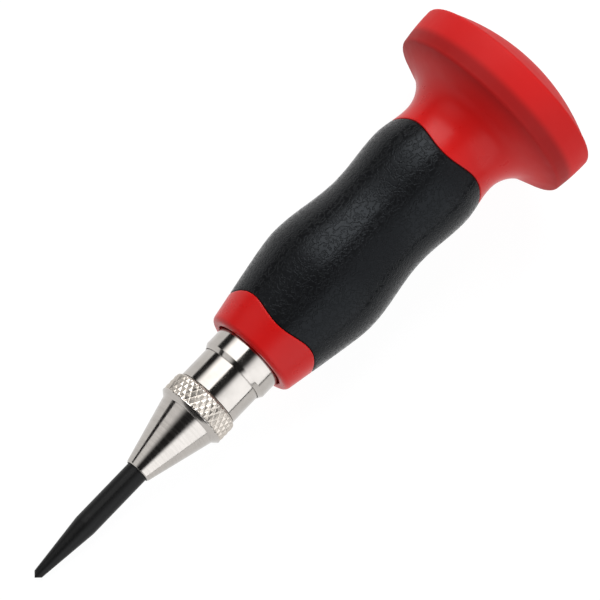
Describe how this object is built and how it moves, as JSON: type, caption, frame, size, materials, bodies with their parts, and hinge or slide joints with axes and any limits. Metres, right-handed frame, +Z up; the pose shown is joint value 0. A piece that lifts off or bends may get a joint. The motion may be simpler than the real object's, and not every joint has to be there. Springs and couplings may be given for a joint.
{
  "type": "automatic center punch",
  "caption": "Spring-loaded automatic centre punch with a knurled screw-off nose, turning two-colour grip and broad domed palm flange, lying on its side.",
  "frame": {"origin": "on the table under the middle of the tool's box, with the tool lying on its flange rim and its tip", "axes": "+X along the table from the tip to the palm flange, +Z up from the table; the tool's own axis lies in the XZ plane and rises about 9 degrees towards the head"},
  "size_m": [0.1488, 0.0454, 0.0456],
  "materials": {
    "red_plastic": "satin moulded",
    "black_grip": "fine leather grain",
    "nickel": "bright nickel plate",
    "dark_steel": "black oxide",
    "bare_steel": "ground and oiled",
    "spring_steel": "oil tempered",
    "seal_rubber": "matt"
  },
  "bodies": {
    "handle": {"handle_core": "red_plastic", "soft_grip": "black_grip", "adjusting_cap": "nickel"},
    "seat": {"spring_seat": "bare_steel", "thrust_ball": "bare_steel", "main_spring": "spring_steel"},
    "barrel": {"barrel": "nickel", "trip_bush": "bare_steel", "trip_spring": "spring_steel"},
    "hammer": {"hammer": "bare_steel"},
    "nose_seal": {"nose_ring": "seal_rubber"},
    "nose": {"nose_cone": "nickel"},
    "punch": {"punch_point": "dark_steel"},
    "trip_pin": {"trip_pin": "bare_steel"}
  },
  "joints": [
    {"name": "power_turn", "type": "hinge", "parent": "handle", "child": "seat", "pos_m": [0.04122, 0, 0.01903], "axis": [0.9879, 0, 0.1551], "range_deg": [0, 2160]},
    {"name": "barrel_advance", "type": "slide", "parent": "seat", "child": "barrel", "axis": [0.9879, 0, 0.1551], "range_m": [0, 0.006], "deforming": ["main_spring"]},
    {"name": "nose_advance", "type": "slide", "parent": "barrel", "child": "nose_seal", "axis": [-0.9879, 0, -0.1551], "range_m": [0, 0.006], "deforming": ["trip_spring"]},
    {"name": "nose_turn", "type": "hinge", "parent": "nose_seal", "child": "nose", "pos_m": [-0.02694, 0, 0.00832], "axis": [-0.9879, 0, -0.1551], "range_deg": [0, 2160]},
    {"name": "punch_press", "type": "slide", "parent": "nose_seal", "child": "punch", "axis": [0.9879, 0, 0.1551], "range_m": [0, 0.008], "stiffness_N_per_m": 5000, "springref_m": -0.0006, "deforming": ["main_spring", "trip_spring"]},
    {"name": "hammer_lift", "type": "slide", "parent": "barrel", "child": "hammer", "axis": [0.9879, 0, 0.1551], "range_m": [0, 0.008], "deforming": ["main_spring"]},
    {"name": "pin_align", "type": "hinge", "parent": "punch", "child": "trip_pin", "pos_m": [-0.03188, 0, 0.00755], "axis": [0, -1, 0], "range_deg": [0, 3.2], "deforming": ["trip_spring"]}
  ],
  "couplings": [
    {"joint": "power_turn", "follows": "barrel_advance", "rad_per_m": 6283.1},
    {"joint": "nose_turn", "follows": "nose_advance", "rad_per_m": 6283.1},
    {"joint": "hammer_lift", "follows": "punch_press", "ratio": 1},
    {"joint": "pin_align", "follows": "punch_press", "rad_per_m": 6.98}
  ]
}
